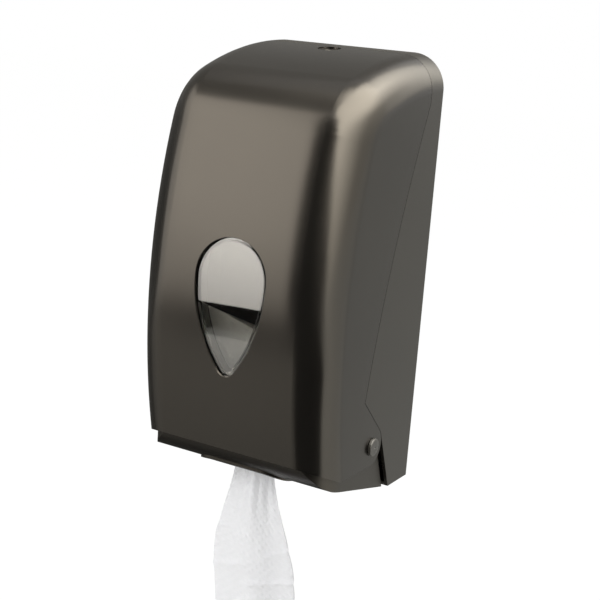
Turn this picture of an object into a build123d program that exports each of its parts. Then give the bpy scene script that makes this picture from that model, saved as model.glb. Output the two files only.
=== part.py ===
# Wall-mounted tissue dispenser. Millimetres. The wall is the plane Y = 0, the front faces -Y,
# +X is to the right seen from the front, +Z is up, and the origin is the middle of the back face.
import os
from math import acos, atan2, cos, hypot, pi, sin, sqrt

from build123d import *

# Cabinet
height = 300.0
width = 150.0
depth = 135.0
wall = 2.5
front_bow = 434.0  # radius of the front in side view
bow_drop = 24.6  # the deepest point of the front lies this far below the middle
top_bow = 244.0  # radius of the top in side view
brow_round = 51.0  # radius between the top and the front
side_round = 24.0  # radius of the front's and the top's side edges

# Seam between the base and the cover, in side view
seam_gap = 0.4
strip_depth = 18.0  # depth of the base at the top
strip_drop = 32.0  # the seam runs straight down this far from the top
cheek_out = 76.0  # the cheek's foremost corner
cheek_up = 73.0  # and its height above the bottom
seam_bow = 5.5
ledge_out = 29.0  # depth of the base at the bottom
front_edge_up = 35.0  # the cover's front edge above the bottom

# Hinge
hinge_out = 60.5
hinge_up = 38.0
lobe_round = 13.8
pin_r = 4.0
pin_run = 0.08  # running clearance of the cover on the pins
pin_hold = 0.03
head_r = 6.2
head_thick = 2.3
head_gap = 0.3
ear_r = 11.0
ear_thick = 3.0
ring_thick = 1.8
ring_r = 6.6

# Tray
tray_wall = 2.2
tray_gap = 0.5  # between the tray's sides and the cover
ear_gap = 0.3
swing_gap = 0.5  # between the tray's lip and the cover's edge as it swings past
lip_up = 8.0  # the lip's top above the hinge line
tray_round = 26.0
tray_setback = 4.0  # gap between the tray and the base's ledge
rest_drop = 4.0  # the paper rests below the hinge line
rest_thick = 2.0
outlet_long = 68.0
outlet_deep = 40.0
outlet_round = 14.0
outlet_inset = 9.0  # behind the inside of the lip
collar_wall = 2.0
collar_out = 1.5

# Window
window_half = 26.7
window_up = 27.6  # centre of its round top above the front's deepest point
window_drop = 58.0  # from there down to the centre of its narrow end
window_toe = 7.0
window_gap = 1.5
window_recess = 1.3
window_rim = 0.5  # bevel of the opening
lens_thick = 2.0
skirt_wall = 1.6
skirt_deep = 9.0
flange_out = 4.0
flange_thick = 1.6

# Lock
lock_out = 28.0  # lock axis from the wall
bezel_r = 7.6
bezel_thick = 1.4
bezel_gap = 0.4
bezel_sink = 0.8
seat_thick = 3.0
seat_r = 9.2
sleeve_r = 6.0
sleeve_gap = 0.12
sleeve_long = 15.0
plug_r = 4.5
plug_run = 0.06
plug_sink = 0.3
nut_r = 8.6
nut_thick = 3.0
tail = 5.0  # square tail of the plug
cam_thick = 2.0
cam_wide = 9.0
cam_long = 17.0
cam_play = 0.4
washer_r = 4.4
washer_thick = 0.8
bolt_r = 1.5
bolt_head_r = 3.0
bolt_head = 2.0
key_wide = 1.4
key_deep = 6.0

# Strike that the cam turns behind
strike_gap = 1.5
strike_thick = 2.5
strike_wide = 8.0
strike_foot = 18.0

# Paper
pack_gap = 1.0  # between the pack and each guide
pack_rear_gap = 14.3
pack_short = 90.0  # a part-used pack stands this far below the guides' tops
guide_room = 2.0  # between a guide's foot and the base's ear
guide_foot = 11.0
guide_thick = 2.0
guide_flare = 5.0
guide_setback = 34.0  # the guides end behind the pack's front
guide_top_gap = 84.0
sheet_thick = 0.9
sheet_gap = 0.4
sheet_hang = 150.0

# Fixings
mount_inset = 7.5  # wall holes inside the pack's sides
mount_end = 55.0  # and from the cabinet's top and bottom
mount_r = 2.6
screw_r = 1.6
screw_hold = 0.03
screw_head_r = 3.0
screw_head = 2.0
tab_wide = 24.0
tab_thick = 2.5
tab_inset = 0.5

top = height / 2
bottom = -top
side = width / 2
hinge = (-hinge_out, bottom + hinge_up)
top_centre = (0.0, top - top_bow)
front_centre = (front_bow - depth, -bow_drop)

# Side stack at the hinge, from the outside in: cover, tray wall, base ear, retaining ring
tray_side = side - wall - tray_gap
ear_side = tray_side - tray_wall - ear_gap
ear_in = ear_side - ear_thick
pin_in = ear_in - ring_thick - seam_gap

# The sheets fill the room that the guides leave between the ears
guide_in = ear_in - guide_room - guide_foot
sheet_wide = 2 * (guide_in - pack_gap)
tab_centre = (sheet_wide - tab_wide) / 2 - tab_inset
mount_wide = sheet_wide - 2 * mount_inset
mount_tall = height - 2 * mount_end


def on_circle(centre, radius, angle):
    return (centre[0] + radius * cos(angle), centre[1] + radius * sin(angle))


def arc_about(centre, radius, start, end):
    points = [on_circle(centre, radius, a) for a in (start, (start + end) / 2, end)]
    return ThreePointArc(*points)


def bearing(start, end):
    return atan2(end[1] - start[1], end[0] - start[0])


def tangent_angle(point, centre, radius, turn):
    away = hypot(point[0] - centre[0], point[1] - centre[1])
    return bearing(centre, point) + turn * acos(radius / away)


def brow_point():
    # Centre of the brow's arc, which touches the top's arc and the front's arc from inside
    r0, r1 = top_bow - brow_round, front_bow - brow_round
    dy, dz = front_centre[0] - top_centre[0], front_centre[1] - top_centre[1]
    gap = hypot(dy, dz)
    along = (r0 * r0 - r1 * r1 + gap * gap) / (2 * gap)
    up = sqrt(r0 * r0 - along * along)
    return (
        top_centre[0] + along * dy / gap - up * dz / gap,
        top_centre[1] + along * dz / gap + up * dy / gap,
    )


brow_centre = brow_point()


def front_at(level, inset=0.0):
    return front_centre[0] - sqrt((front_bow - inset) ** 2 - (level - front_centre[1]) ** 2)


def top_at(out):
    return top_centre[1] + sqrt(top_bow**2 - out**2)


def face_of(*edges):
    return Face(Wire(list(edges)))


def outline(*points):
    return Face(Wire.make_polygon([Vector(*p) for p in points]))


def across(face, half):
    # A side-view face made into a bar across the full width
    return extrude(Plane.YZ * face, half, both=True)


def slice_x(face, start, end):
    return Pos(start, 0, 0) * extrude(Plane.YZ * face, end - start, dir=(1, 0, 0))


def block(x0, x1, y0, y1, z0, z1):
    return Pos((x0 + x1) / 2, (y0 + y1) / 2, (z0 + z1) / 2) * Box(x1 - x0, y1 - y0, z1 - z0)


def rod_x(radius, x0, x1, at):
    return Pos(x0, at[0], at[1]) * extrude(Plane.YZ * Circle(radius), x1 - x0)


def rod_y(radius, y0, y1, x, z):
    # From y0 forward to y1
    return Pos(x, y0, z) * extrude(Plane.XZ * Circle(radius), y0 - y1)


def rod_z(radius, z0, z1, x, y):
    return Pos(x, y, z0) * extrude(Circle(radius), z1 - z0)


def both_sides(solid):
    return [solid, mirror(solid, about=Plane.YZ)]


def envelope(inset):
    # The cabinet's outside moved in by an even inset, open ends on the wall and the bottom
    at_top = bearing(top_centre, brow_centre)
    at_front = bearing(front_centre, brow_centre)
    low = (front_at(bottom, inset), bottom)
    profile = face_of(
        Line((0, bottom), (0, top - inset)),
        arc_about(top_centre, top_bow - inset, pi / 2, at_top),
        arc_about(brow_centre, brow_round - inset, at_top, at_front),
        arc_about(front_centre, front_bow - inset, at_front, 2 * pi + bearing(front_centre, low)),
        Line(low, (0, bottom)),
    )
    solid = across(profile, side - inset)
    return fillet(solid.edges().filter_by(GeomType.CIRCLE), side_round - inset)


outer = envelope(0)
inner = envelope(wall)
shell = outer - inner

# Side view of the base: a curved seam to the cheek's corner, then lines that touch the lobe's circle
socket = lobe_round + seam_gap
seam_top = (-strip_depth, top - strip_drop)
cheek = (-cheek_out, bottom + cheek_up)
ledge = (-ledge_out, bottom)
run = (cheek[0] - seam_top[0], cheek[1] - seam_top[1])
chord = hypot(*run)
seam_mid = (
    (seam_top[0] + cheek[0]) / 2 + seam_bow * run[1] / chord,
    (seam_top[1] + cheek[1]) / 2 - seam_bow * run[0] / chord,
)
cheek_touch = tangent_angle(cheek, hinge, socket, -1)
ledge_touch = tangent_angle(ledge, hinge, socket, 1)
base_side = face_of(
    Line((0, bottom), (0, top + wall)),
    Line((0, top + wall), (-strip_depth, top + wall)),
    Line((-strip_depth, top + wall), seam_top),
    ThreePointArc(seam_top, seam_mid, cheek),
    Line(cheek, on_circle(hinge, socket, cheek_touch)),
    arc_about(hinge, socket, cheek_touch, ledge_touch),
    Line(on_circle(hinge, socket, ledge_touch), ledge),
    Line(ledge, (0, bottom)),
)

# Side view of the cover: level side edges under the lobes, rising round the corners to the front
front_edge = bottom + front_edge_up
side_edge = hinge[1] - lobe_round
edge_front = front_at(front_edge)
edge_corner = edge_front + side_round
rise = (front_edge - side_edge) / side_round
edge_beyond = side_edge + rise * (edge_corner + depth + side_round)
cover_side = outline(
    (-depth - side_round, edge_beyond),
    (-depth - side_round, top + wall),
    (0, top + wall),
    (0, cheek[1]),
    on_circle(hinge, lobe_round, cheek_touch),
    (hinge[0], side_edge),
    (edge_corner, side_edge),
)
cover_side = cover_side + Pos(*hinge) * Circle(lobe_round)
cover_side = cover_side - offset(base_side, seam_gap, kind=Kind.INTERSECTION)


# Window outline, a round top run into a narrow rounded end by two long arcs
window_level = window_up - bow_drop
toe_level = window_level - window_drop
flank = (window_drop**2 + window_half**2 - window_toe**2) / (2 * (window_half - window_toe))


def window_face(grow):
    half, long, toe = window_half + grow, flank + grow, window_toe + grow
    right_centre = (window_half - flank, window_level)
    turn = bearing(right_centre, (0, toe_level))
    right = on_circle(right_centre, long, turn)
    left = (-right[0], right[1])
    mid = on_circle(right_centre, long, turn / 2)
    return face_of(
        ThreePointArc((half, window_level), (0, window_level + half), (-half, window_level)),
        ThreePointArc((-half, window_level), (-mid[0], mid[1]), left),
        ThreePointArc(left, (0, toe_level - toe), right),
        ThreePointArc(right, mid, (half, window_level)),
    )


def window_prism(grow):
    return Pos(0, -depth / 2, 0) * extrude(Plane.XZ * window_face(grow), depth)


# Lock levels, from the top down
lock_at = (0.0, -lock_out)
bezel_top = top_at(lock_out) - bezel_sink
seat_top = bezel_top - bezel_thick
seat_low = seat_top - seat_thick
sleeve_low = seat_top - sleeve_long
cam_top = sleeve_low - cam_play
cam_low = cam_top - cam_thick
washer_low = cam_low - washer_thick

# Front cover
cover = shell & across(cover_side, side)
seat = rod_z(seat_r, seat_low, top, *lock_at) & outer
cover = cover + seat
cover = cover - rod_z(bezel_r + bezel_gap, seat_top, top + wall, *lock_at)
cover = cover - rod_z(sleeve_r + sleeve_gap, seat_low - wall, top, *lock_at)
cover = cover - rod_x(pin_r + pin_run, -width, width, hinge)
cover = cover - window_prism(0)
rim_edges = [
    e
    for e in cover.edges()
    if e.center().Z < window_level + window_half + wall
    and e.center().Z > toe_level - window_toe - wall
    and abs(e.center().X) < window_half + wall
    and abs(e.center().Y - front_at(e.center().Z)) < wall / 3
]
front_cover = chamfer(rim_edges, window_rim)

# Window, with a skirt that reaches inward and a flange welded to the inside of the cover
plug_out = -window_gap
skirt_in = plug_out - skirt_wall
lens = envelope(window_recess) - envelope(window_recess + lens_thick)
lens = lens & window_prism(plug_out)
skirt = envelope(window_recess) - envelope(window_recess + skirt_deep)
skirt = skirt & (window_prism(plug_out) - window_prism(skirt_in))
flange = inner - envelope(wall + flange_thick)
flange = flange & (window_prism(flange_out) - window_prism(skirt_in))
sight_window = lens + skirt + flange

# Rear base
base = shell & across(base_side, side)
base = base + (outer & block(-side, side, -wall, 0, bottom, top))
base = base + (outer & block(-side, side, -ledge_out, 0, bottom, bottom + wall))
ear_foot = hinge_up * 0.8
foot_high = (-wall / 2, hinge[1] + ear_foot)
foot_low = (-wall / 2, hinge[1] - ear_foot)
ear_high = on_circle(hinge, ear_r, tangent_angle(foot_high, hinge, ear_r, 1))
ear_low = on_circle(hinge, ear_r, tangent_angle(foot_low, hinge, ear_r, -1))
ear_face = outline(foot_high, ear_high, hinge, ear_low, foot_low) + Pos(*hinge) * Circle(ear_r)
for ear in both_sides(slice_x(ear_face, ear_in, ear_side)):
    base = base + ear
base = base - rod_x(pin_r + pin_hold, -width, width, hinge)
mounts = [(x * mount_wide / 2, z * mount_tall / 2) for x in (-1, 1) for z in (-1, 1)]
for x, z in mounts:
    base = base - rod_y(mount_r, wall, -wall * 3, x, z)

# Outlet tray: a shell with a rolled front, plan corners of the same radius and open top and rear
edge_inside = front_at(front_edge, wall)
swing = hypot(edge_inside - hinge[0], front_edge - hinge[1]) - swing_gap
tray_front = hinge[0] - sqrt(swing**2 - lip_up**2)
lip_top = hinge[1] + lip_up
tray_foot = (-ledge_out - tray_setback, bottom)
roll = (tray_front + tray_round, hinge[1] + lip_up / 2)


def tray_space(inset, rear, roof):
    radius = tray_round - inset
    under = tangent_angle(tray_foot, roll, tray_round, -1)
    slope = under + pi / 2
    touch = on_circle(roll, radius, under)
    reach = rear - touch[0]
    end = (rear, touch[1] + reach * sin(slope) / cos(slope))
    side_face = face_of(
        Line((tray_front + inset, roof), (tray_front + inset, roll[1])),
        arc_about(roll, radius, -pi, under),
        Line(touch, end),
        Line(end, (rear, roof)),
        Line((rear, roof), (tray_front + inset, roof)),
    )
    half = tray_side - inset
    plan = Rectangle(2 * half, 2 * (-tray_front - inset))
    plan = fillet(plan.vertices().group_by(Axis.Y)[0], radius)
    return across(side_face, half) & extrude(plan, height, both=True)


tray_outer = tray_space(0, tray_foot[0], top)
tray_inner = tray_space(tray_wall, 0, top)
rear_touch = on_circle(hinge, ear_r, tangent_angle(tray_foot, hinge, ear_r, 1))
tray_sides = outline(
    (-depth, lip_top),
    (hinge[0], lip_top),
    hinge,
    rear_touch,
    tray_foot,
    (tray_foot[0], bottom - wall),
    (-depth, bottom - wall),
)
tray_sides = tray_sides + Pos(*hinge) * Circle(ear_r)
tray = (tray_outer & across(tray_sides, side)) - tray_inner
rest_level = hinge[1] - rest_drop
rib_out = tab_centre + tab_wide / 2 - rest_thick
rib_front = tray_front + outlet_inset
for x in (-rib_out, -tab_centre, tab_centre, rib_out):
    rib = block(x - rest_thick / 2, x + rest_thick / 2, rib_front, tray_foot[0], bottom, rest_level)
    tray = tray + (rib & tray_outer)
outlet_front = tray_front + tray_wall + outlet_inset
outlet_at = (0.0, outlet_front + outlet_deep / 2)
outlet_plan = Pos(*outlet_at) * RectangleRounded(outlet_long, outlet_deep, outlet_round)
outlet_hole = extrude(outlet_plan, height, both=True)
collar_plan = RectangleRounded(
    outlet_long + 2 * collar_wall, outlet_deep + 2 * collar_wall, outlet_round + collar_wall
)
collar_top = rest_level - tray_wall * 4
collar = Pos(outlet_at[0], outlet_at[1], collar_top) * extrude(collar_plan, -height)
tray = tray + (collar & tray_space(-collar_out, tray_foot[0], top))
tray = tray - outlet_hole
tab_low = bottom + wall
tab_front = tray_foot[0] - tray_setback
for x in (-tab_centre, tab_centre):
    x0 = x - tab_wide / 2
    x1 = x + tab_wide / 2
    tray = tray + block(x0, x1, tab_front, -wall * 3, tab_low, tab_low + tab_thick)
tab_mid = -ledge_out / 2 - wall
tray = tray - rod_x(pin_r + pin_run * 2, -width, width, hinge)
tray_screws = []
for x in (-tab_centre, tab_centre):
    tray = tray - rod_z(screw_r + screw_hold * 4, bottom, lip_top, x, tab_mid)
    base = base - rod_z(screw_r + screw_hold, bottom - wall, tab_low + wall / 2, x, tab_mid)
    head = rod_z(screw_head_r, tab_low + tab_thick, tab_low + tab_thick + screw_head, x, tab_mid)
    tray_screws.append(head + rod_z(screw_r, bottom + wall / 5, tab_low + tab_thick, x, tab_mid))
outlet_tray = tray

# Hinge pins with bevelled heads outside the cover, and the rings on their inner ends
head_in = side + head_gap
head = rod_x(head_r, head_in, head_in + head_thick, hinge)
head = chamfer(head.edges().group_by(Axis.X)[-1], head_thick / 3)
hinge_pin_right = head + rod_x(pin_r, pin_in, head_in, hinge)
hinge_pin_left = mirror(hinge_pin_right, about=Plane.YZ)
ring = rod_x(ring_r, ear_in - ring_thick, ear_in, hinge) - rod_x(pin_r + pin_hold, 0, side, hinge)
pin_retainers = both_sides(ring)

# Paper guides on the back wall, with flared front edges
pack_front = outlet_front
guide_front = pack_front + guide_setback + pack_rear_gap
guide_low = hinge[1] - rest_drop / 2
guide_tall = top - guide_top_gap - guide_low
guide_plan = outline(
    (guide_in, -wall),
    (guide_in + guide_foot, -wall),
    (guide_in + guide_foot, -wall - guide_thick),
    (guide_in + guide_thick, -wall - guide_thick),
    (guide_in + guide_thick, guide_front),
    (guide_in + guide_thick + guide_flare, guide_front - guide_flare * 1.6),
    (guide_in + guide_flare, guide_front - guide_flare * 1.6 - guide_thick / 2),
    (guide_in, guide_front),
)
guide = Pos(0, 0, guide_low) * extrude(guide_plan, guide_tall, dir=(0, 0, 1))
screw_x = guide_in + guide_thick + (guide_foot - guide_thick) / 2
screw_up = guide_low + guide_tall / 2
guide = guide - rod_y(screw_r + screw_hold * 4, 0, -wall * 3, screw_x, screw_up)
head = rod_y(screw_head_r, -wall - guide_thick, -wall - guide_thick - screw_head, screw_x, screw_up)
guide_screws = both_sides(head + rod_y(screw_r, -wall / 4, -wall - guide_thick, screw_x, screw_up))
for x in (-screw_x, screw_x):
    base = base - rod_y(screw_r + screw_hold, -wall / 5, -wall * 2, x, screw_up)
paper_guide_right = guide
paper_guide_left = mirror(guide, about=Plane.YZ)

# Cam lock in the cover's top. The cam points to the wall at rest and turns to -X behind the strike.
lock_body = rod_z(bezel_r, seat_top, bezel_top, *lock_at)
lock_body = chamfer(lock_body.edges().group_by(Axis.Z)[-1], bezel_thick / 3)
lock_body = lock_body + rod_z(sleeve_r, sleeve_low, seat_top, *lock_at)
lock_body = lock_body - rod_z(plug_r + plug_run, sleeve_low - wall, top, *lock_at)
nut_plan = Pos(*lock_at) * RegularPolygon(nut_r, 6)
lock_nut = Pos(0, 0, seat_low - nut_thick) * extrude(nut_plan, nut_thick)
lock_nut = lock_nut - rod_z(sleeve_r + pin_hold, sleeve_low, seat_low, *lock_at)
lock_plug = rod_z(plug_r, cam_top, bezel_top - plug_sink, *lock_at)
tail_box = block(-tail / 2, tail / 2, lock_at[1] - tail / 2, lock_at[1] + tail / 2, cam_low, cam_top)
lock_plug = lock_plug + tail_box
key_half = plug_r * 0.66
key_box = block(
    -key_wide / 2, key_wide / 2, lock_at[1] - key_half, lock_at[1] + key_half, bezel_top - key_deep, top
)
lock_plug = lock_plug - key_box
bolt_top = cam_top + cam_thick * 2
lock_plug = lock_plug - rod_z(bolt_r + screw_hold, cam_low - wall, bolt_top + wall / 4, *lock_at)
cam_plan = Pos(*lock_at) * Circle(cam_wide / 2)
cam_plan = cam_plan + Pos(0, lock_at[1] + cam_long / 2) * Rectangle(cam_wide, cam_long)
cam_hole = Pos(*lock_at) * Rectangle(tail + seam_gap / 4, tail + seam_gap / 4)
lock_cam = Pos(0, 0, cam_low) * extrude(cam_plan - cam_hole, cam_thick)
cam_tips = [e for e in lock_cam.edges().filter_by(Axis.Z) if e.center().Y > lock_at[1] + cam_long * 0.9]
lock_cam = fillet(cam_tips, cam_wide / 4)
cam_washer = rod_z(washer_r, washer_low, cam_low, *lock_at)
cam_washer = cam_washer - rod_z(bolt_r + screw_hold, washer_low - wall, cam_low, *lock_at)
cam_screw = rod_z(bolt_head_r, washer_low - bolt_head, washer_low, *lock_at)
cam_screw = cam_screw + rod_z(bolt_r, washer_low, bolt_top, *lock_at)

# Strike: a bracket on the back wall with a prong in front of the turned cam
prong_back = lock_at[1] - cam_wide / 2 - strike_gap
prong_front = prong_back - strike_thick
strike_x0 = -cam_long - strike_gap
strike_x1 = strike_x0 + strike_wide
arm_top = washer_low - bolt_head - strike_gap
arm_low = arm_top - strike_thick
arm = block(strike_x0, strike_x1, prong_front, -wall, arm_low, arm_top)
prong = block(strike_x0, strike_x1, prong_front, prong_back, arm_low, cam_top + strike_gap)
foot = block(strike_x0, strike_x1, -wall - strike_thick, -wall, arm_low - strike_foot, arm_top)
lock_strike = arm + prong + foot
strike_screws = []
strike_x = (strike_x0 + strike_x1) / 2
for z in (arm_low - strike_foot * 0.25, arm_low - strike_foot * 0.75):
    lock_strike = lock_strike - rod_y(screw_r + screw_hold * 4, 0, -wall * 4, strike_x, z)
    head = rod_y(screw_head_r, -wall - strike_thick, -wall - strike_thick - screw_head, strike_x, z)
    strike_screws.append(head + rod_y(screw_r, -wall / 4, -wall - strike_thick, strike_x, z))
    base = base - rod_y(screw_r + screw_hold, -wall / 5, -wall * 2, strike_x, z)
rear_base = base

# Pack of sheets on the tray's rests, part used
pack_back = -wall - pack_rear_gap
pack_top = guide_low + guide_tall - pack_short
paper_stack = block(-sheet_wide / 2, sheet_wide / 2, pack_front, pack_back, rest_level, pack_top)
paper_stack = fillet(paper_stack.edges().filter_by(Axis.Z), pack_gap)

# Hanging sheet, gathered in the outlet and opening out below. Each row is a share of the length that
# hangs, then the half width, the drift to the right and the depth of the folds as shares of the spread.
sheet_spread = sheet_wide / 3
sheet_rows = [
    (0.0, 0.37, 0.0, 0.1),
    (0.23, 0.54, 0.05, 0.14),
    (0.5, 0.89, 0.12, 0.13),
    (1.0, 1.0, 0.39, 0.13),
]
fold_marks = [(-1.0, 0.5), (-0.55, -0.3), (0.06, -1.0), (0.45, 0.5), (1.0, 0.7)]


def sheet_section(down, half, drift, fold):
    marks = [(drift + half * x, fold * y) for x, y in fold_marks]
    middle = [(sheet_spread * x, outlet_at[1] + sheet_spread * y) for x, y in marks]
    ahead = [(x, y - sheet_thick / 2) for x, y in middle]
    behind = [(x, y + sheet_thick / 2) for x, y in reversed(middle)]
    level = rest_level - sheet_gap - down * (sheet_hang - sheet_gap)
    return Pos(0, 0, level) * outline(*ahead, *behind)


hanging_sheet = loft([sheet_section(*row) for row in sheet_rows], ruled=True)

os.makedirs("parts", exist_ok=True)
nodes = {
    "rear_base": [rear_base],
    "front_cover": [front_cover],
    "sight_window": [sight_window],
    "outlet_tray": [outlet_tray],
    "tray_screws": tray_screws,
    "hinge_pin_left": [hinge_pin_left],
    "hinge_pin_right": [hinge_pin_right],
    "pin_retainers": pin_retainers,
    "paper_guide_left": [paper_guide_left],
    "paper_guide_right": [paper_guide_right],
    "guide_screws": guide_screws,
    "lock_body": [lock_body],
    "lock_nut": [lock_nut],
    "lock_plug": [lock_plug],
    "lock_cam": [lock_cam],
    "cam_washer": [cam_washer],
    "cam_screw": [cam_screw],
    "lock_strike": [lock_strike],
    "strike_screws": strike_screws,
    "paper_stack": [paper_stack],
    "hanging_sheet": [hanging_sheet],
}
for name, pieces in nodes.items():
    solids = [s for piece in pieces for s in piece.solids()]
    export_step(Compound(children=solids) if len(solids) > 1 else solids[0], f"parts/{name}.step")
    print(name, len(solids), round(sum(s.volume for s in solids)))
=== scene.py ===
import math
import random

import bmesh
import bpy
from mathutils import Matrix, Vector, noise


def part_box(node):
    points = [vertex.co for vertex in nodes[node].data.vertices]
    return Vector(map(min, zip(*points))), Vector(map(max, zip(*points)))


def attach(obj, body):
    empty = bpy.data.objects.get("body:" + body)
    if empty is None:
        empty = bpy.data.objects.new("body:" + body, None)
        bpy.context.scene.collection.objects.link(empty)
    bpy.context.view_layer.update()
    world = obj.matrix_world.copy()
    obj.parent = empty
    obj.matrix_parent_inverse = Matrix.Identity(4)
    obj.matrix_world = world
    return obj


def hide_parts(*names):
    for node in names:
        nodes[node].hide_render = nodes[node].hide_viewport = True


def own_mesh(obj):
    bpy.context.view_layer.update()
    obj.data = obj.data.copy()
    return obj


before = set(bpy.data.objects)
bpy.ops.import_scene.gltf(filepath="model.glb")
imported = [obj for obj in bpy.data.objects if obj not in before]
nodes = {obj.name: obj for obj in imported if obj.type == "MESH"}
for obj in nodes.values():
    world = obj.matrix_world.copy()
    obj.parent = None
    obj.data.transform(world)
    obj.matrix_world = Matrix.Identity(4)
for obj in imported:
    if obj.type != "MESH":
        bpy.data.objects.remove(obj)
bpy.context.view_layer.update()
scene = bpy.context.scene
scene.view_settings.view_transform = "Standard"
print("frame loaded,", len(nodes), "nodes")


def linear(hexColour):
    # sRGB hex to the linear colour that a socket takes
    parts = [int(hexColour[i:i + 2], 16) / 255 for i in (1, 3, 5)]
    return (*[c / 12.92 if c <= 0.04045 else ((c + 0.055) / 1.055) ** 2.4 for c in parts], 1.0)


def addNode(tree, kind, settings=None, links=None):
    node = tree.nodes.new(kind)
    for name, value in (settings or {}).items():
        if isinstance(name, str) and hasattr(node, name):
            setattr(node, name, value)
        else:
            node.inputs[name].default_value = value
    for name, source in (links or {}).items():
        tree.links.new(source, node.inputs[name])
    return node


def maths(tree, operation, sources, settings=None):
    # sockets go in by their order, and a constant is set by its place
    settings = {"operation": operation, **(settings or {})}
    return addNode(tree, "ShaderNodeMath", settings, dict(enumerate(sources))).outputs[0]


def remap(tree, value, settings):
    return addNode(tree, "ShaderNodeMapRange", settings, {"Value": value}).outputs["Result"]


def perMetre(millimetres):
    # texture scale for a pattern of this size, on coordinates in metres
    return 1000.0 / millimetres


def noiseOf(tree, place, sizeMm, detail):
    settings = {"Scale": perMetre(sizeMm), "Detail": detail}
    return addNode(tree, "ShaderNodeTexNoise", settings, {"Vector": place}).outputs["Fac"]


def toneOf(tree, factor, finish):
    settings = {"data_type": "RGBA", 6: linear(finish["colour"]), 7: linear(finish["pale"])}
    return addNode(tree, "ShaderNodeMix", settings, {0: factor}).outputs[2]


def glossOf(tree, factor, rough, drift):
    # roughness that strays this far below and above
    return remap(tree, factor, {"To Min": rough - drift[0], "To Max": rough + drift[1]})


def newMaterial(name):
    material = bpy.data.materials.new(name)
    material.use_nodes = True
    material.node_tree.nodes.clear()
    return material, material.node_tree


def addSurface(tree, settings, links):
    shader = addNode(tree, "ShaderNodeBsdfPrincipled", settings, links)
    addNode(tree, "ShaderNodeOutputMaterial", {}, {"Surface": shader.outputs["BSDF"]})


def newPiece(name, verts, faces, material, smoothShade=True):
    mesh = bpy.data.meshes.new(name)
    mesh.from_pydata(verts, [], faces)
    mesh.materials.append(material)
    for polygon in mesh.polygons:
        polygon.use_smooth = smoothShade
    piece = bpy.data.objects.new(name, mesh)
    scene.collection.objects.link(piece)
    return piece


def ease(low, high, x):
    t = min(max((x - low) / (high - low), 0.0), 1.0)
    return t * t * (3 - 2 * t)


# ABS with a metallic pigment, moulded in an etched tool: nearly black where it faces the dark, with a wide
# warm sheen where it faces light, and a fine even grain
mouldedAbs = {
    "cover": {"name": "moulded_abs_graphite_cover", "colour": "#3a3733", "pale": "#403d38", "rough": 0.24},
    "base": {"name": "moulded_abs_graphite_base", "colour": "#3c3a36", "pale": "#43403b", "rough": 0.33},
    "tray": {"name": "moulded_abs_graphite_tray", "colour": "#37342f", "pale": "#3d3a35", "rough": 0.36},
    "ior": 1.45,
    "pigment": 0.8,  # share of the light that the metal flakes send back
    "grainMm": 0.9,  # the tool's etch is near 0.2 mm, drawn coarser so that it shows
    "grainDepthMm": 0.004,
    "grainStrength": 0.35,
    "flowMm": 70.0,  # slow change of gloss along the flow of the melt
    "glossDrift": (0.03, 0.03),
}
# The cover's long front edges are drawn rounder towards the top than their one radius: the shading normal leans
# outwards over this run across, in full between the middle two of these four heights
softEdge = {
    "startMm": 36.0, "endMm": 75.0, "lean": 0.75, "power": 1.6,
    "noneMm": -52.0, "fullMm": 8.0, "fadeMm": 96.0, "goneMm": 122.0,
}


def rounderEdge(tree, coords):
    metres = {name: value / 1000 for name, value in softEdge.items() if name.endswith("Mm")}
    axes = addNode(tree, "ShaderNodeSeparateXYZ", {}, {"Vector": coords["Object"]}).outputs
    across = maths(tree, "ABSOLUTE", [axes["X"]])
    side = maths(tree, "SIGN", [axes["X"]])
    run = remap(tree, across, {"From Min": metres["startMm"], "From Max": metres["endMm"]})
    rise = remap(tree, axes["Z"], {
        "interpolation_type": "SMOOTHSTEP", "From Min": metres["noneMm"], "From Max": metres["fullMm"],
        "To Max": softEdge["lean"]})
    fade = remap(tree, axes["Z"], {
        "interpolation_type": "SMOOTHSTEP", "From Min": metres["fadeMm"], "From Max": metres["goneMm"],
        "To Min": 1.0, "To Max": 0.0})
    # only on the outside of the wall, where the normal faces forwards or away from the middle
    facing = addNode(tree, "ShaderNodeSeparateXYZ", {}, {"Vector": coords["Normal"]}).outputs
    away = maths(tree, "MULTIPLY", [facing["X"], side])
    away = maths(tree, "SUBTRACT", [away, facing["Y"]])
    outside = maths(tree, "GREATER_THAN", [away], {1: 0.0})
    amount = maths(tree, "POWER", [run], {1: softEdge["power"]})
    for factor in (rise, fade, outside, side):
        amount = maths(tree, "MULTIPLY", [amount, factor])
    lean = addNode(tree, "ShaderNodeCombineXYZ", {}, {"X": amount}).outputs[0]
    flat = addNode(tree, "ShaderNodeNewGeometry").outputs["Normal"]
    leaning = addNode(tree, "ShaderNodeVectorMath", {"operation": "ADD"}, {0: flat, 1: lean}).outputs[0]
    return addNode(tree, "ShaderNodeVectorMath", {"operation": "NORMALIZE"}, {0: leaning}).outputs[0]


def makeAbs(kind):
    finish = mouldedAbs[kind]
    material, tree = newMaterial(finish["name"])
    coords = addNode(tree, "ShaderNodeTexCoord").outputs
    flow = noiseOf(tree, coords["Object"], mouldedAbs["flowMm"], detail=3.0)
    links = {"Height": noiseOf(tree, coords["Object"], mouldedAbs["grainMm"], detail=2.0)}
    if kind == "cover":
        links["Normal"] = rounderEdge(tree, coords)
    depth = {"Strength": mouldedAbs["grainStrength"], "Distance": mouldedAbs["grainDepthMm"] / 1000}
    grain = addNode(tree, "ShaderNodeBump", depth, links).outputs["Normal"]
    gloss = glossOf(tree, flow, finish["rough"], mouldedAbs["glossDrift"])
    addSurface(tree, {"IOR": mouldedAbs["ior"], "Metallic": mouldedAbs["pigment"]},
               {"Base Color": toneOf(tree, flow, finish), "Roughness": gloss, "Normal": grain})
    return material


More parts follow.
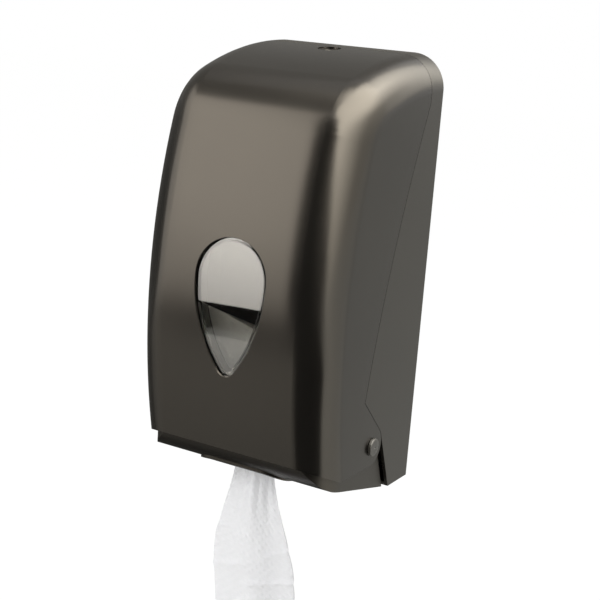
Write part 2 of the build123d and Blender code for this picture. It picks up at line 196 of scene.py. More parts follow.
# Acetal, moulded and slightly polished by turning: paler than the cabinet, waxy, with no visible grain
acetal = {
    "name": "moulded_acetal_grey", "colour": "#393732", "pale": "#44413b", "rough": 0.36, "ior": 1.48,
    "scuffMm": 2.5, "glossDrift": (0.06, 0.08),
}


def makeAcetal():
    material, tree = newMaterial(acetal["name"])
    place = addNode(tree, "ShaderNodeTexCoord").outputs["Object"]
    scuff = noiseOf(tree, place, acetal["scuffMm"], detail=4.0)
    gloss = glossOf(tree, scuff, acetal["rough"], acetal["glossDrift"])
    addSurface(tree, {"IOR": acetal["ior"]}, {"Base Color": toneOf(tree, scuff, acetal), "Roughness": gloss})
    return material


# Acrylic, injection moulded and polished, grey tinted: sharp reflections, a dim view of what is inside.
# The index is set above the real 1.5, for reflections as strong as in the photograph
acrylic = {
    "name": "polished_acrylic_smoke", "tint": "#cfcec8", "rough": 0.02, "ior": 1.8,
    "hairlineMm": 6.0, "glossDrift": (0.01, 0.016),
}


def makeAcrylic():
    material, tree = newMaterial(acrylic["name"])
    place = addNode(tree, "ShaderNodeTexCoord").outputs["Object"]
    haze = noiseOf(tree, place, acrylic["hairlineMm"], detail=5.0)
    gloss = glossOf(tree, haze, acrylic["rough"], acrylic["glossDrift"])
    body = {"Base Color": linear(acrylic["tint"]), "IOR": acrylic["ior"], "Transmission Weight": 1.0}
    addSurface(tree, body, {"Roughness": gloss})
    return material


# Metals of the lock and the fixings, each with the soft blotches that plating leaves
platedMetal = {
    "zinc": {
        "name": "die_cast_zinc_black_plated", "colour": "#3d3b38", "pale": "#4a4844",
        "rough": 0.3, "blotchMm": 3.0,
    },
    "steel": {
        "name": "steel_zinc_plated", "colour": "#a9acad", "pale": "#c3c4c2",
        "rough": 0.36, "blotchMm": 2.2,
    },
    "glossDrift": (0.08, 0.1),
}


def makeMetal(kind):
    finish = platedMetal[kind]
    material, tree = newMaterial(finish["name"])
    place = addNode(tree, "ShaderNodeTexCoord").outputs["Object"]
    blotch = noiseOf(tree, place, finish["blotchMm"], detail=4.0)
    gloss = glossOf(tree, blotch, finish["rough"], platedMetal["glossDrift"])
    addSurface(tree, {"Metallic": 1.0}, {"Base Color": toneOf(tree, blotch, finish), "Roughness": gloss})
    return material


# Tissue, creped and embossed: soft white with no gloss, fine cross ridges and small slanted dimples
tissue = {
    "name": "creped_tissue_embossed", "colour": "#ebebed", "pale": "#f3f3f5",
    "rough": 0.92, "shine": 0.2, "fuzz": 0.25, "depthMm": 0.3,
    "embossMm": 2.2, "embossTurns": (38, -52), "embossStray": 0.6, "crepeMm": 0.8, "crepeStretch": 0.25,
}


def makeTissue():
    material, tree = newMaterial(tissue["name"])
    place = addNode(tree, "ShaderNodeUVMap", {"uv_map": "paper"}).outputs["UV"]
    # the wave node counts 20 radians to a unit of its scale, and a dimple is half a wave
    wave = {"Scale": perMetre(tissue["embossMm"]) / 20 * math.pi, "Distortion": tissue["embossStray"]}
    rows = []
    for degrees in tissue["embossTurns"]:
        turn = {"Rotation": (0, 0, math.radians(degrees))}
        turned = addNode(tree, "ShaderNodeMapping", turn, {"Vector": place}).outputs["Vector"]
        rows.append(addNode(tree, "ShaderNodeTexWave", wave, {"Vector": turned}).outputs["Fac"])
    emboss = maths(tree, "MULTIPLY", rows)
    stretch = {"Scale": (tissue["crepeStretch"], 1.0, 1.0)}
    along = addNode(tree, "ShaderNodeMapping", stretch, {"Vector": place}).outputs["Vector"]
    crepe = noiseOf(tree, along, tissue["crepeMm"], detail=3.0)
    relief = maths(tree, "ADD", [emboss, crepe])
    depth = {"Strength": 1.0, "Distance": tissue["depthMm"] / 1000}
    bump = addNode(tree, "ShaderNodeBump", depth, {"Height": relief}).outputs["Normal"]
    body = {"Roughness": tissue["rough"], "Sheen Weight": tissue["fuzz"], "Specular IOR Level": tissue["shine"]}
    addSurface(tree, body, {"Base Color": toneOf(tree, crepe, tissue), "Normal": bump})
    return material


finishes = {
    "cover": makeAbs("cover"), "base": makeAbs("base"), "tray": makeAbs("tray"), "acetal": makeAcetal(),
    "acrylic": makeAcrylic(), "zinc": makeMetal("zinc"), "steel": makeMetal("steel"), "tissue": makeTissue(),
}
nodeFinish = {
    "front_cover": "cover", "rear_base": "base", "outlet_tray": "tray", "sight_window": "acrylic",
    "paper_guide_left": "tray", "paper_guide_right": "tray", "pin_retainers": "steel",
    "lock_body": "zinc", "lock_plug": "zinc", "lock_nut": "steel", "lock_cam": "steel",
    "cam_washer": "steel", "lock_strike": "steel",
}
for nodeName, finishName in nodeFinish.items():
    solid = nodes[nodeName]
    if not solid.material_slots:
        solid.data.materials.append(finishes[finishName])
    for materialSlot in solid.material_slots:
        materialSlot.material = finishes[finishName]
print("materials on", len(nodeFinish), "solids")


# Hanging sheet: folds gathered in the neck that open on the way down, with soft waves and cross creases.
# Spans are shares of the way down, from the neck to the hem
hangingTissue = {
    "flatWide": 0.105, "flatLong": 0.15, "thickMm": 0.22, "columns": 140, "rows": 180,
    "leanMm": 13.5, "leanPower": 1.9, "openSpan": (0.05, 0.67),
    "gatherMm": 0.9, "gatherCount": 8.5, "gatherSway": 0.5, "swayTurn": 4, "gatherSpan": (0.05, 0.5),
    "billowMm": 1.5, "billowWide": 24, "billowHigh": 38, "billowSlice": 2.0, "billowSpan": (0.2, 0.6),
    "crinkleMm": 0.45, "crinkleWide": 9, "crinkleHigh": 14, "crinkleSlant": (30, 40), "crinkleSlice": 5.0,
    "hemLiftMm": 0.6, "hemStrayMm": 0.4, "hemWaveMm": 7, "hemSlice": 9, "hemPower": 6,
    # across the flat width: share, then x and y in mm of the section in the neck and at the hem
    "folds": [
        (0.0, -2.0, 7.0, -17.0, 7.0),
        (0.16, -13.5, 3.0, -34.5, 2.5),
        (0.32, -3.0, -2.0, -18.0, -1.2),
        (0.48, 4.0, -5.5, -1.5, -3.4),
        (0.55, 7.0, -4.4, 5.5, -2.8),
        (0.7, 12.5, -0.6, 19.0, 0.2),
        (0.84, 16.5, -0.5, 34.0, 0.2),
        (0.92, 9.0, 4.0, 27.0, 4.0),
        (1.0, 3.0, 7.0, 18.0, 6.5),
    ],
    # cross creases in mm: level, slope, depth, and where each starts and ends across
    "creases": [
        (-177.0, 0.38, 1.5, -40, -12), (-206.0, 0.3, 1.6, -40, 2), (-203.0, 0.5, 1.2, 14, 60),
        (-221.0, 0.26, 2.0, 2, 60), (-233.0, 0.5, 1.4, -34, 10), (-246.0, 0.3, 1.6, 0, 60),
    ],
    "creaseMiddle": 8, "creaseFade": 6, "creaseAbove": 1.2, "creaseBelow": 4.5,
}


def foldAt(rows, share):
    # smooth curve through the fold rows
    i = max(k for k in range(len(rows) - 1) if rows[k][0] <= share)
    here, after = rows[i], rows[i + 1]
    before, beyond = rows[max(i - 1, 0)], rows[min(i + 2, len(rows) - 1)]
    span = after[0] - here[0]
    t = (share - here[0]) / span
    values = []
    for k in range(1, 5):
        slopeHere = (after[k] - before[k]) / (after[0] - before[0]) * span
        slopeAfter = (beyond[k] - here[k]) / (beyond[0] - here[0]) * span
        values.append((2 * t**3 - 3 * t**2 + 1) * here[k] + (t**3 - 2 * t**2 + t) * slopeHere
                      + (3 * t**2 - 2 * t**3) * after[k] + (t**3 - t**2) * slopeAfter)
    return values


def crinkleAt(x, z):
    # fine wrinkles that run aslant, in mm
    slantX, slantZ = hangingTissue["crinkleSlant"]
    across = x / hangingTissue["crinkleWide"] + z / slantX
    along = z / hangingTissue["crinkleHigh"] - x / slantZ
    return hangingTissue["crinkleMm"] * abs(noise.noise((across, along, hangingTissue["crinkleSlice"])))


def creaseAt(x, z):
    # how far the cross creases press the sheet forwards, in mm
    press = 0.0
    fade = hangingTissue["creaseFade"]
    for level, slope, depth, start, end in hangingTissue["creases"]:
        gap = z - level - slope * (x - hangingTissue["creaseMiddle"])
        reach = ease(start - fade, start + fade, x) * (1 - ease(end - fade, end + fade, x))
        run = hangingTissue["creaseAbove" if gap > 0 else "creaseBelow"]
        press += depth * reach * math.exp(-abs(gap) / run)
    return press


def makeHangingTissue():
    low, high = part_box("hanging_sheet")
    top, bottom = high[2], low[2] + hangingTissue["hemLiftMm"] / 1000
    middle = (low[1] + high[1]) / 2
    columns, rows = hangingTissue["columns"], hangingTissue["rows"]
    sections = [foldAt(hangingTissue["folds"], c / columns) for c in range(columns + 1)]
    verts = []
    for r in range(rows + 1):
        down = r / rows
        opened = ease(*hangingTissue["openSpan"], down)
        gather = hangingTissue["gatherMm"] * (1 - ease(*hangingTissue["gatherSpan"], down))
        sway = hangingTissue["gatherSway"] * math.sin(hangingTissue["swayTurn"] * down)
        billow = hangingTissue["billowMm"] * ease(*hangingTissue["billowSpan"], down)
        lean = hangingTissue["leanMm"] * down ** hangingTissue["leanPower"]
        ragged = hangingTissue["hemStrayMm"] * down ** hangingTissue["hemPower"]
        z = (top + (bottom - top) * down) * 1000
        for c in range(columns + 1):
            xNeck, yNeck, xHem, yHem = sections[c]
            x = xNeck + (xHem - xNeck) * opened + lean
            y = yNeck + (yHem - yNeck) * opened
            y += gather * math.sin(2 * math.pi * (hangingTissue["gatherCount"] * c / columns + sway))
            wave = (x / hangingTissue["billowWide"], z / hangingTissue["billowHigh"], hangingTissue["billowSlice"])
            y += billow * noise.noise(wave) + crinkleAt(x, z) - creaseAt(x, z)
            hemSpot = (x / hangingTissue["hemWaveMm"], 0, hangingTissue["hemSlice"])
            hem = z - ragged * (1 + noise.noise(hemSpot))
            verts.append((x / 1000, middle + y / 1000, hem / 1000))
    faces = []
    for r in range(rows):
        for c in range(columns):
            a = r * (columns + 1) + c
            faces.append((a, a + 1, a + columns + 2, a + columns + 1))
    sheet = newPiece("hanging_tissue", verts, faces, finishes["tissue"])
    layer = sheet.data.uv_layers.new(name="paper")
    for loop in sheet.data.loops:
        r, c = divmod(loop.vertex_index, columns + 1)
        layer.data[loop.index].uv = (c / columns * hangingTissue["flatWide"], r / rows * hangingTissue["flatLong"])
    ply = sheet.modifiers.new("ply", "SOLIDIFY")
    ply.thickness = hangingTissue["thickMm"] / 1000
    ply.offset = 0.0
    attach(sheet, "sheet")
    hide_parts("hanging_sheet")
    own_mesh(sheet)


makeHangingTissue()
print("hanging tissue made")


# Pack of interleaved sheets: every layer a soft fold at the front and the back, the part-used top slumped
paperPack = {
    "layerMm": 1.15, "bulgeMm": 0.35, "slackMm": 0.14, "cornerMm": 1.5, "perSide": 10, "perCorner": 3, "seed": 11,
    # a layer's edge: height in the layer, then the shares of the bulge taken off at its ends and at its folds
    "edge": [(0.04, 0.25, 1.0), (0.3, 0.0, 0.2), (0.7, 0.0, 0.2), (0.96, 0.25, 1.0)],
    "rearDrop": 0.38, "dropPower": 2.2,
    "slumpMm": 7.5, "slumpAtMm": -10.0, "slumpRunMm": 26.0, "slumpFlat": 0.8, "slumpPower": 1.6, "settleMm": 4.5,
    "rippleMm": 0.5, "ripplePerM": 60, "ripplePerRise": 90, "topInsetsMm": (6, 16, 28, 40), "topStrayMm": 0.2,
}
# the next sheet's end, drawn down into the folds of the hanging one
nextEnd = {
    "wideMm": 13.0, "asideMm": 2.5, "behindMm": 1.3, "longMm": 28.0, "tuckMm": 1.0, "thickMm": 0.25,
    "waveMm": 0.3, "waveAcross": 9.0, "waveDown": 2.0, "columns": 16, "rows": 10,
}


def addNextEnd(verts, faces, level):
    sheetLow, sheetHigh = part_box("hanging_sheet")
    middle = (sheetLow[1] + sheetHigh[1]) / 2
    wide, long, tuck, thick = (nextEnd[k] / 1000 for k in ("wideMm", "longMm", "tuckMm", "thickMm"))
    columns, rows = nextEnd["columns"], nextEnd["rows"]
    first = len(verts)
    for skin in (0.0, thick):
        for r in range(rows + 1):
            for c in range(columns + 1):
                x = nextEnd["asideMm"] / 1000 + wide * (c / columns - 0.5)
                turn = nextEnd["waveAcross"] * c / columns + nextEnd["waveDown"] * r / rows
                y = middle + (nextEnd["behindMm"] + nextEnd["waveMm"] * math.sin(turn)) / 1000 + skin
                verts.append((x, y, level + tuck - (long + tuck) * r / rows))
    count = (rows + 1) * (columns + 1)
    for r in range(rows):
        for c in range(columns):
            a = first + r * (columns + 1) + c
            faces.append((a, a + columns + 1, a + columns + 2, a + 1))
            faces.append((a + count, a + count + 1, a + count + columns + 2, a + count + columns + 1))
    border = [first + c for c in range(columns + 1)]
    border += [first + r * (columns + 1) + columns for r in range(1, rows + 1)]
    border += [first + rows * (columns + 1) + c for c in range(columns - 1, -1, -1)]
    border += [first + r * (columns + 1) for r in range(rows - 1, 0, -1)]
    for here, after in zip(border, border[1:] + border[:1]):
        faces.append((here, after, after + count, here + count))


def makePaperPack():
    low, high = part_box("paper_stack")
    rng = random.Random(paperPack["seed"])
    layers = round((high[2] - low[2]) * 1000 / paperPack["layerMm"])
    step = (high[2] - low[2]) / layers
    halfX, halfY = (high[0] - low[0]) / 2, (high[1] - low[1]) / 2
    middleX, middleY = (high[0] + low[0]) / 2, (high[1] + low[1]) / 2
    slack, bulge, corner = (paperPack[k] / 1000 for k in ("slackMm", "bulgeMm", "cornerMm"))
    perSide, perCorner = paperPack["perSide"], paperPack["perCorner"]

    def outline(wide, deep):
        points = []
        for side in range(4):
            turn = side * math.pi / 2
            along, out = (deep, wide) if side % 2 == 0 else (wide, deep)
            ends = [(out, -along + corner + (2 * along - 2 * corner) * k / perSide) for k in range(perSide + 1)]
            ends += [(out - corner + corner * math.cos(a), along - corner + corner * math.sin(a))
                     for a in (math.pi / 2 * (k + 1) / (perCorner + 1) for k in range(perCorner))]
            points += [(p * math.cos(turn) - q * math.sin(turn), p * math.sin(turn) + q * math.cos(turn))
                       for p, q in ends]
        return points

    def ring(insetX, insetY, shiftX, shiftY, level, lift=0.0):
        rise = (level - low[2]) / (high[2] - low[2])
        ringVerts = []
        for p, q in outline(halfX - insetX, halfY - insetY):
            x = middleX + shiftX + p
            behind = (q + halfY) / (2 * halfY)
            lean = math.tanh((x * 1000 - paperPack["slumpAtMm"]) / paperPack["slumpRunMm"])
            slump = -paperPack["settleMm"] - paperPack["slumpMm"] * (1 - paperPack["slumpFlat"] * behind) * lean
            spot = (p * paperPack["ripplePerM"], q * paperPack["ripplePerM"], level * paperPack["ripplePerRise"])
            ripple = paperPack["rippleMm"] * noise.noise(spot)
            drop = paperPack["rearDrop"] * behind * 2 * halfY * rise ** paperPack["dropPower"]
            sink = (slump + ripple) / 1000 * rise ** paperPack["slumpPower"] - drop
            ringVerts.append((x, middleY + shiftY + q, level + lift + sink))
        return ringVerts

    verts = []
    for k in range(layers):
        shift = rng.uniform(-slack, slack), rng.uniform(-slack, slack)
        floor = low[2] + k * step
        for height, endShare, foldShare in paperPack["edge"]:
            verts += ring(slack + bulge * endShare, slack + bulge * foldShare, *shift, floor + step * height)
    for insetMm in paperPack["topInsetsMm"]:
        stray = paperPack["topStrayMm"] / 1000 * rng.uniform(-1, 1)
        verts += ring(insetMm / 1000, insetMm / 1000, 0, 0, high[2], stray)
    count = 4 * (perSide + 1 + perCorner)
    rings = len(verts) // count
    faces = []
    for r in range(rings - 1):
        for c in range(count):
            a, b = r * count + c, r * count + (c + 1) % count
            faces.append((a, b, b + count, a + count))
    faces.append(tuple(reversed(range(count))))
    faces.append(tuple(range((rings - 1) * count, rings * count)))
    addNextEnd(verts, faces, low[2])
    pack = newPiece("paper_pack", verts, faces, finishes["tissue"], False)
    layer = pack.data.uv_layers.new(name="paper")
    for loop in pack.data.loops:
        x, y, z = pack.data.vertices[loop.vertex_index].co
        layer.data[loop.index].uv = (x + y, z + y)
    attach(pack, "base")
    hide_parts("paper_stack")


makePaperPack()
print("paper pack made")


def spin(bm, profile, centre, axis, segments):
    # revolve (distance along the axis, radius) in mm about a line through centre
    axis = Vector(axis)
    side = axis.orthogonal().normalized()
    other = axis.cross(side)
    turns = [2 * math.pi * k / segments for k in range(segments)]
    rings = []
    for along, radius in profile:
        foot = Vector(centre) + axis * along / 1000
        if radius < 1e-6:
            rings.append([bm.verts.new(foot)])
            continue
        spokes = [(side * math.cos(a) + other * math.sin(a)) * radius / 1000 for a in turns]
        rings.append([bm.verts.new(foot + spoke) for spoke in spokes])
    for low, high in zip(rings, rings[1:]):
        for k in range(segments):
            n = (k + 1) % segments
            if len(low) == 1:
                bm.faces.new((low[0], high[n], high[k]))
            elif len(high) == 1:
                bm.faces.new((low[k], low[n], high[0]))
            else:
                bm.faces.new((low[k], low[n], high[n], high[k]))
    return rings


def finishPiece(name, bm, material, body, node, sharpDeg):
    bmesh.ops.recalc_face_normals(bm, faces=bm.faces)
    mesh = bpy.data.meshes.new(name)
    bm.to_mesh(mesh)
    bm.free()
    mesh.materials.append(material)
    mesh.polygons.foreach_set("use_smooth", [True] * len(mesh.polygons))
    mesh.set_sharp_from_angle(angle=math.radians(sharpDeg))
    piece = bpy.data.objects.new(name, mesh)
    scene.collection.objects.link(piece)
    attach(piece, body)
    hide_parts(node)


# Hinge pins: a turned head with a rolled rim and the small gate mark in its middle
hingePin = {
    "headMm": 6.2, "headDeepMm": 2.3, "shankMm": 4.0, "tipMm": 0.4, "gateMm": 0.55, "gateDeepMm": 0.35,
    # depth with the distance out from the gate mark, then depth with the distance in from the head's side
    "gateRound": [(-0.05, 0.12), (0.0, 0.3)],
    "rimRoll": [(0.0, 1.2), (-0.1, 0.75), (-0.32, 0.3), (-0.62, 0.1), (-1.0, 0.0)],
    "segments": 72, "sharpDeg": 50.0,
}


def makeHingePin(node, outward):
    low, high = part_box(node)
    head, shank, gate, tip = (hingePin[k] for k in ("headMm", "shankMm", "gateMm", "tipMm"))
    headDeep, gateDeep = hingePin["headDeepMm"], hingePin["gateDeepMm"]
    outer = high[0] if outward > 0 else low[0]
    long = (high[0] - low[0]) * 1000
    profile = [(-gateDeep, 0.0), (-gateDeep, gate)]
    profile += [(level, gate + out) for level, out in hingePin["gateRound"]]
    profile += [(level, head - inset) for level, inset in hingePin["rimRoll"]]
    profile += [(-headDeep, head), (-headDeep, shank), (-long + tip, shank), (-long, shank - tip), (-long, 0.0)]
    bm = bmesh.new()
    centre = (outer, (low[1] + high[1]) / 2, (low[2] + high[2]) / 2)
    spin(bm, profile, centre, (outward, 0, 0), hingePin["segments"])
    finishPiece(node + "_turned", bm, finishes["acetal"], "base", node, hingePin["sharpDeg"])


makeHingePin("hinge_pin_right", 1)
makeHingePin("hinge_pin_left", -1)
print("hinge pins made")


# Pan head screws with a cross recess
panScrew = {
    "headMm": 3.0, "headHighMm": 2.0, "crownMm": 0.02, "crownShare": 0.72, "tipShare": 0.25,
    "dome": [(0.18, 0.88), (0.5, 1.0), (1.0, 1.0)],  # shares of the head's height and radius
    "recessMm": 1.7, "slotMm": 0.42, "deepMm": 1.0, "floorShare": 0.72, "segments": 36, "sharpDeg": 40.0,
}
# which way the heads face, and where the screws stand in their node's box
screwSets = {
    "tray_screws": {"body": "base", "outward": (0, 0, 1), "shankMm": 1.6, "places": [(0, 0.5, 0), (1, 0.5, 0)]},
    "guide_screws": {"body": "base", "outward": (0, -1, 0), "shankMm": 1.6, "places": [(0, 0, 0.5), (1, 0, 0.5)]},
    "strike_screws": {"body": "base", "outward": (0, -1, 0), "shankMm": 1.6, "places": [(0.5, 0, 0), (0.5, 0, 1)]},
    "cam_screw": {"body": "lock", "outward": (0, 0, -1), "shankMm": 1.5, "places": [(0.5, 0.5, 0)]},
}


def addScrew(bm, headTop, outward, shank, long):
    head, headHigh, crown = panScrew["headMm"], panScrew["headHighMm"], panScrew["crownMm"]
    profile = [(-crown, head * panScrew["crownShare"])]
    profile += [(-headHigh * deep, head * wide) for deep, wide in panScrew["dome"]]
    profile += [(-headHigh, shank), (-long + shank, shank), (-long, shank * panScrew["tipShare"]), (-long, 0.0)]
    rings = spin(bm, profile, headTop, outward, panScrew["segments"])
    axis = Vector(outward)
    side = axis.orthogonal().normalized()
    other = axis.cross(side)
    arm, half = panScrew["recessMm"], panScrew["slotMm"]
    cross = [(arm, half), (half, half), (half, arm), (-half, arm), (-half, half), (-arm, half),
             (-arm, -half), (-half, -half), (-half, -arm), (half, -arm), (half, -half), (arm, -half)]
    levels = []
    for sink, shrink in ((crown, 1.0), (panScrew["deepMm"], panScrew["floorShare"])):
        foot = Vector(headTop) - axis * sink / 1000
        levels.append([bm.verts.new(foot + (side * p + other * q) * shrink / 1000) for p, q in cross])
    mouth, floor = levels
    corners = len(cross)
    for k in range(corners):
        n = (k + 1) % corners
        bm.faces.new((mouth[k], mouth[n], floor[n], floor[k]))
    bm.faces.new(floor)
    loops = (rings[0], mouth)
    edges = [bm.edges.get((loop[k], loop[(k + 1) % len(loop)])) for loop in loops for k in range(len(loop))]
    bmesh.ops.triangle_fill(bm, edges=edges, use_beauty=True)


def makeScrews(node):
    screws = screwSets[node]
    outward, head = screws["outward"], panScrew["headMm"] / 1000
    low, high = (Vector(p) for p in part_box(node))
    reach = [k for k in range(3) if abs(outward[k]) > 0.5][0]
    bm = bmesh.new()
    for share in screws["places"]:
        top = Vector(low[k] + head + (high[k] - low[k] - 2 * head) * share[k] for k in range(3))
        top[reach] = high[reach] if outward[reach] > 0 else low[reach]
        addScrew(bm, top, outward, screws["shankMm"], (high[reach] - low[reach]) * 1000)
    finishPiece(node + "_cross", bm, finishes["steel"], screws["body"], node, panScrew["sharpDeg"])


for screwNode in screwSets:
    makeScrews(screwNode)
print("screws made")


# Studio: pale floor well below, white surround, and reflector panels that only gloss and glass see
studio = {
    "floorLevel": -0.5, "floorHalf": 7.0, "floorColour": "#f4f4f2", "white": "#ffffff",
    "shadowShare": 0.14, "floorGlow": 1.07, "fill": 0.62,
}


def seenShare(tree):
    # 1 for a ray from the camera, from gloss or through glass, and 0 for the light that falls on things
    path = addNode(tree, "ShaderNodeLightPath").outputs
    seen = maths(tree, "ADD", [path["Is Camera Ray"], path["Is Glossy Ray"]], {"use_clamp": True})
    return maths(tree, "ADD", [seen, path["Is Transmission Ray"]], {"use_clamp": True})


def makeFloor():
    half, level = studio["floorHalf"], studio["floorLevel"]
    material, tree = newMaterial("studio_floor")
    share = maths(tree, "MULTIPLY", [seenShare(tree)], {1: 1 - studio["shadowShare"]})
    matt = addNode(tree, "ShaderNodeBsdfDiffuse", {"Color": linear(studio["floorColour"])})
    glow = addNode(tree, "ShaderNodeEmission", {"Color": linear(studio["white"]), "Strength": studio["floorGlow"]})
    both = addNode(tree, "ShaderNodeMixShader", {}, {0: share, 1: matt.outputs[0], 2: glow.outputs[0]})
    addNode(tree, "ShaderNodeOutputMaterial", {}, {"Surface": both.outputs[0]})
    corners = [(-half, -half, level), (half, -half, level), (half, half, level), (-half, half, level)]
    floor = newPiece("studio_floor", corners, [(0, 1, 2, 3)], material, False)
    floor.visible_glossy = False


def makeSurround():
    world = bpy.data.worlds.new("studio_surround")
    scene.world = world
    world.use_nodes = True
    tree = world.node_tree
    tree.nodes.clear()
    strength = remap(tree, seenShare(tree), {"To Min": studio["fill"], "To Max": 1.0})
    surround = addNode(tree, "ShaderNodeBackground", {"Color": linear(studio["white"])}, {"Strength": strength})
    addNode(tree, "ShaderNodeOutputWorld", {}, {"Surface": surround.outputs[0]})


# Reflector panels, side by side on a sphere. Corners from the lower left round to the upper left: bearing from the
# front in degrees (to the right is positive), height above level in degrees, and brightness there
panelTone = {"warm": "#fffaf3", "bright": "#fffbf2", "wall": "#fbfbf6", "card": "#f2efe8", "black": "#000000"}
panels = {
    # soft box at the front left, over the dark gap and the table top
    "soft_box": ("warm", [(-62, 6, 3.9), (-22.4, 6, 5.5), (-23.2, 26, 5.7), (-62, 26, 4.1)]),
    "soft_top": ("warm", [(-62, 26, 4.1), (-23.2, 26, 5.7), (-38, 49, 5.8), (-62, 44.5, 4.2)]),
    "soft_foot": ("warm", [(-62, -12.8, 2.5), (-21.7, -11.5, 2.8), (-22.4, 6, 5.5), (-62, 6, 3.9)]),
    "soft_wing": ("warm", [(-84, -13, 1.5), (-62, -12.8, 2.1), (-62, 44.5, 4.2), (-84, 44.5, 2.5)]),
    "gap_card": ("card", [(-62, -16, 0.03), (-21.4, -19.3, 0.03), (-21.7, -11.5, 0.03), (-62, -12.8, 0.03)]),
    "table_card": ("card", [(-62, -42, 0.8), (-20.5, -42, 1.0), (-21.4, -19.3, 1.25), (-62, -16, 1.15)]),
    "table_wing": ("card", [(-84, -42, 0.3), (-62, -42, 0.8), (-62, -12.8, 0.9), (-84, -13, 0.4)]),
    "under_card": ("card", [(-84, -85, 0.03), (-19, -85, 0.03), (-20.5, -42, 1.0), (-84, -42, 0.3)]),
    # dark room between the lights, which draws the black band down the front edge
    "dark_flag": ("black", [(-19, -80, 0.0), (69, -80, 0.0), (69, -19, 0.0), (-21.42, -19, 0.0)]),
    "dark_mid": ("black", [(-21.42, -19, 0.0), (69, -19, 0.0), (87.5, -9, 0.0), (-21.82, -9, 0.0)]),
    "dark_rise": ("black", [(-21.82, -9, 0.0), (87.5, -9, 0.0), (42, 26, 0.0), (-23.2, 26, 0.0)]),
    "dark_cap": ("black", [(-23.2, 26, 0.0), (42, 26, 0.0), (20, 46, 0.0), (-38, 49, 0.0)]),
    # dim ceiling over the brow, and the brighter one above it
    "brow_flag": ("card", [(-62, 44.5, 0.8), (-38, 49, 0.8), (-30, 59.5, 0.4), (-62, 63.4, 0.4)]),
    "brow_wing": ("card", [(-84, 44.5, 0.6), (-62, 44.5, 0.8), (-62, 63.4, 0.4), (-84, 66, 0.4)]),
    "crown_card": ("bright", [(-164, 76, 0.6), (-22, 60, 3.5), (-16, 89.5, 10.0), (-164, 89.5, 8.0)]),
    # bright side on the right, rising to the ceiling
    "right_low": ("wall", [(69, -80, 1.7), (140, -80, 1.8), (140, -20, 1.27), (69, -19, 2.4)]),
    "right_mid": ("wall", [(69, -19, 2.4), (140, -20, 1.27), (140, 0, 1.1), (87.5, -9, 2.6)]),
    "right_fall": ("bright", [(87.5, -9, 3.6), (112, -4.8, 1.2), (112, 26, 2.8), (42, 26, 12.0)]),
    "right_tail": ("bright", [(112, -4.8, 1.2), (140, 0, 1.1), (145, 26, 2.2), (112, 26, 2.8)]),
    "right_rise": ("bright", [(42, 26, 12.0), (112, 26, 2.8), (118, 46, 12.0), (20, 46, 10.5)]),
    "right_shoulder": ("bright", [(112, 26, 2.8), (145, 26, 2.2), (150, 46, 9.5), (118, 46, 12.0)]),
    "right_box": ("bright", [(20, 46, 10.5), (150, 46, 12.5), (150, 60, 13.0), (-22, 60, 10.5)]),
    "right_top": ("bright", [(-22, 60, 10.5), (150, 60, 13.0), (150, 89.5, 12.0), (-16, 89.5, 10.0)]),
    # behind: the strip along the rear edge, and the dim wall
    "rim_strip": ("bright", [(142, 6, 1.4), (166, 16, 3.8), (178, 58, 4.5), (150, 46, 9.5)]),
    "crown_wing": ("bright", [(150, 46, 9.5), (178, 58, 4.5), (196, 89.5, 8.0), (150, 89.5, 12.0)]),
    "side_card": ("wall", [(140, -80, 0.8), (180, -80, 0.75), (180, 2, 0.66), (140, 0, 0.75)]),
    "back_flag": ("card", [(180, 2, 0.22), (276, 2, 0.22), (276, 56, 0.6), (190, 54, 0.5)]),
    "back_low": ("card", [(180, -85, 0.03), (276, -85, 0.03), (276, 2, 0.15), (180, 2, 0.2)]),
}
panelSet = {"centre": (0.0, -0.07, 0.0), "away": 1.7, "across": 16, "up": 12}


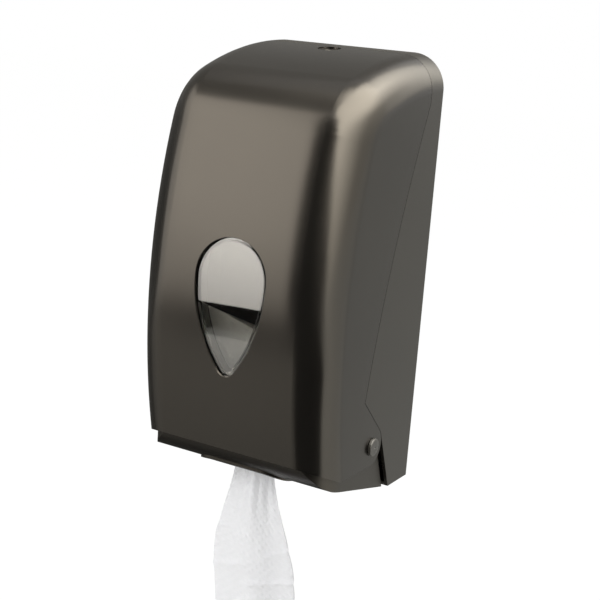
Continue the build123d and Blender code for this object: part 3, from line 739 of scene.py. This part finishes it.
def makePanel(name):
    tone, corners = panels[name]
    material, tree = newMaterial("studio_" + name)
    level = addNode(tree, "ShaderNodeAttribute", {"attribute_name": "glow"}).outputs["Fac"]
    glow = addNode(tree, "ShaderNodeEmission", {"Color": linear(panelTone[tone])}, {"Strength": level})
    addNode(tree, "ShaderNodeOutputMaterial", {}, {"Surface": glow.outputs[0]})
    across, up = panelSet["across"], panelSet["up"]
    lowLeft, lowRight, highRight, highLeft = (Vector(c) for c in corners)
    verts, levels = [], []
    for r in range(up + 1):
        for c in range(across + 1):
            share = c / across
            turn, rise, strength = lowLeft.lerp(lowRight, share).lerp(highLeft.lerp(highRight, share), r / up)
            turn, rise = math.radians(turn), math.radians(rise)
            out = Vector((math.cos(rise) * math.sin(turn), -math.cos(rise) * math.cos(turn), math.sin(rise)))
            verts.append(Vector(panelSet["centre"]) + out * panelSet["away"])
            levels.append(strength)
    faces = []
    for r in range(up):
        for c in range(across):
            a = r * (across + 1) + c
            faces.append((a, a + 1, a + across + 2, a + across + 1))
    card = newPiece("studio_" + name, verts, faces, material)
    card.data.attributes.new("glow", "FLOAT", "POINT").data.foreach_set("value", levels)
    card.visible_camera = False
    card.visible_diffuse = False
    card.visible_shadow = False
    card.visible_volume_scatter = False


lamps = {
    "key_lamp": {"place": (-1.0, -1.25, 0.95), "aim": (0.0, -0.07, -0.05), "size": 0.9, "watts": 14.0},
    "top_lamp": {"place": (0.35, 0.3, 1.4), "aim": (0.0, -0.07, 0.0), "size": 0.8, "watts": 8.0},
}


def makeLamp(name):
    settings = lamps[name]
    lamp = bpy.data.lights.new(name, "AREA")
    lamp.shape = "RECTANGLE"
    lamp.size = lamp.size_y = settings["size"]
    lamp.energy = settings["watts"]
    lamp.color = linear(studio["white"])[:3]
    holder = bpy.data.objects.new(name, lamp)
    holder.location = settings["place"]
    sight = Vector(settings["aim"]) - Vector(settings["place"])
    holder.rotation_euler = sight.to_track_quat("-Z", "Y").to_euler()
    holder.visible_camera = False
    holder.visible_glossy = False
    scene.collection.objects.link(holder)


makeFloor()
makeSurround()
for panelName in panels:
    makePanel(panelName)
for lampName in lamps:
    makeLamp(lampName)
print("studio made")


# Camera at the photograph's viewing angle
photoView = {
    "lens": 78.0, "sensor": 36.0, "azimuth": 29.747, "elevation": 13.627, "roll": 4.3207,
    "away": 0.94437, "aside": -0.0234653, "above": -0.0324092,
}


def makeCamera():
    azimuth, elevation, roll = (math.radians(photoView[k]) for k in ("azimuth", "elevation", "roll"))
    reach = math.cos(elevation)
    back = Vector((math.sin(azimuth) * reach, -math.cos(azimuth) * reach, math.sin(elevation)))
    level = Vector((math.cos(azimuth), math.sin(azimuth), 0.0))
    upright = back.cross(level)
    right = level * math.cos(roll) + upright * math.sin(roll)
    up = upright * math.cos(roll) - level * math.sin(roll)
    place = back * photoView["away"] + right * photoView["aside"] + up * photoView["above"]
    lens = bpy.data.cameras.new("photo_camera")
    lens.lens = photoView["lens"]
    lens.sensor_width = photoView["sensor"]
    camera = bpy.data.objects.new("photo_camera", lens)
    turn = Matrix((right, up, back)).transposed()
    camera.matrix_world = Matrix.Translation(place) @ turn.to_4x4()
    scene.collection.objects.link(camera)
    scene.camera = camera


makeCamera()
print("camera set")
